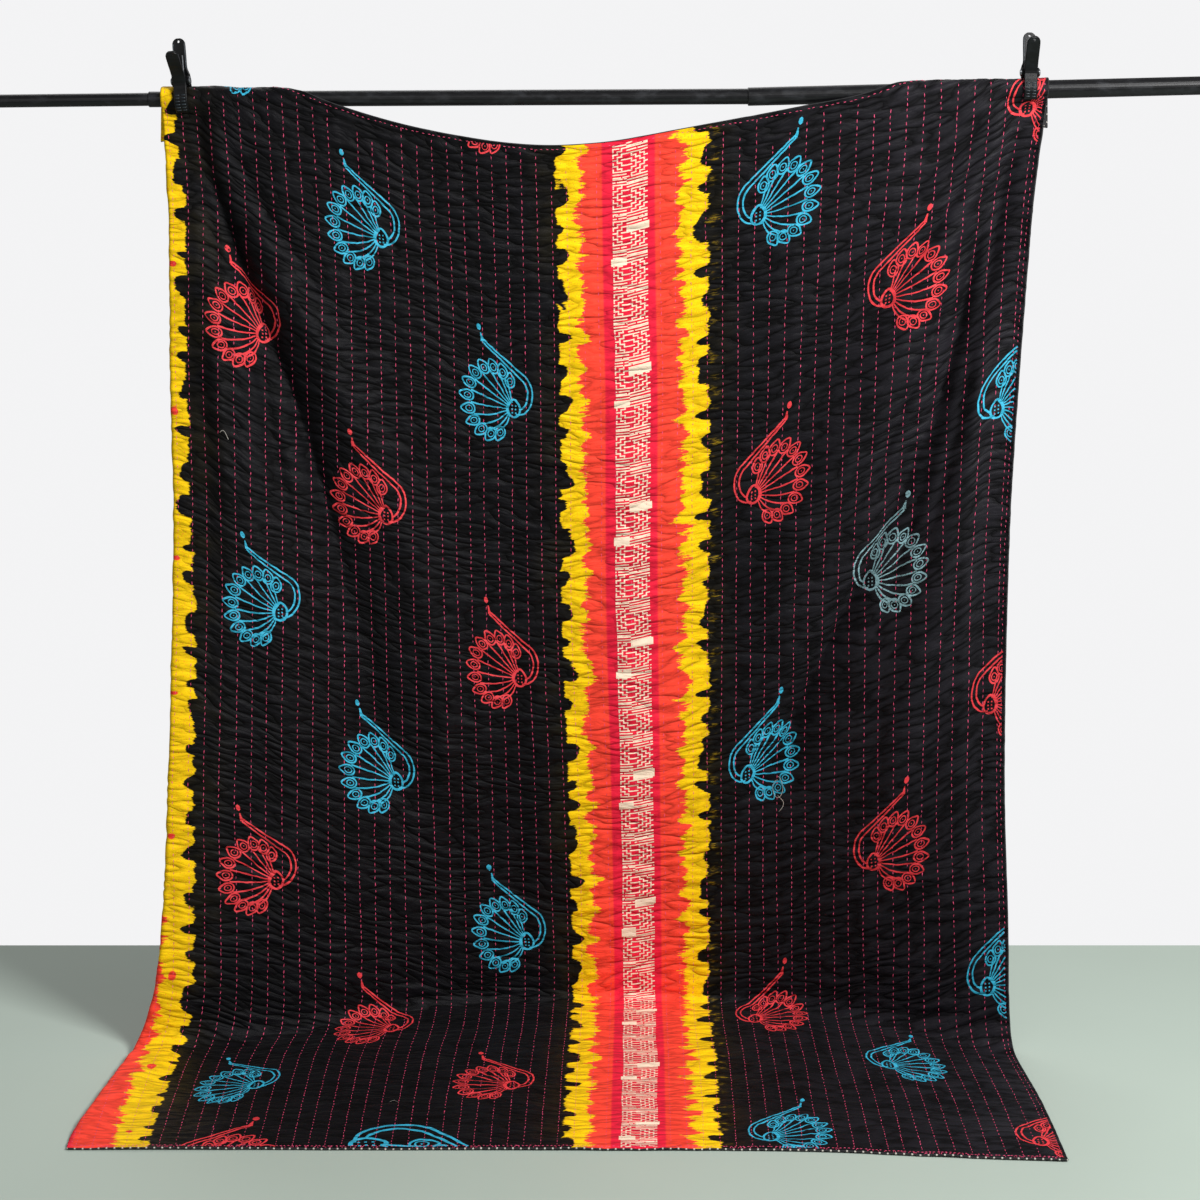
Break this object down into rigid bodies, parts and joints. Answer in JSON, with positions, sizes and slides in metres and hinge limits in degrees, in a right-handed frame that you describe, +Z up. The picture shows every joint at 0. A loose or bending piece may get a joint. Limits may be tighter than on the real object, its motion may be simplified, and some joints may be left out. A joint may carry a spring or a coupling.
{
  "type": "kantha quilt hung on a crossbar",
  "caption": "Block-printed and tie-dyed kantha quilt clamped to a telescoping crossbar, hanging to the floor with its lower end laid out in front.",
  "frame": {"origin": "on the floor, in the middle of the footprint", "axes": "+X along the crossbar, to the right when the quilt is seen from its printed side; the printed side faces -Y; +Z up"},
  "size_m": [2.0004, 0.6401, 1.5818],
  "materials": {
    "quilt_cotton": "matte printed cotton with running stitch",
    "crossbar_paint": "satin black",
    "clamp_nylon": "moulded black nylon",
    "clamp_steel": "plain grey steel"
  },
  "bodies": {
    "root": {"quilt": "quilt_cotton", "crossbar_left": "crossbar_paint", "crossbar_middle": "crossbar_paint", "crossbar_right": "crossbar_paint", "clamp_left_front_arm": "clamp_nylon", "clamp_left_back_arm": "clamp_nylon", "clamp_left_pin": "clamp_steel", "clamp_left_spring": "clamp_steel", "clamp_right_front_arm": "clamp_nylon", "clamp_right_back_arm": "clamp_nylon", "clamp_right_pin": "clamp_steel", "clamp_right_spring": "clamp_steel"}
  },
  "joints": []
}
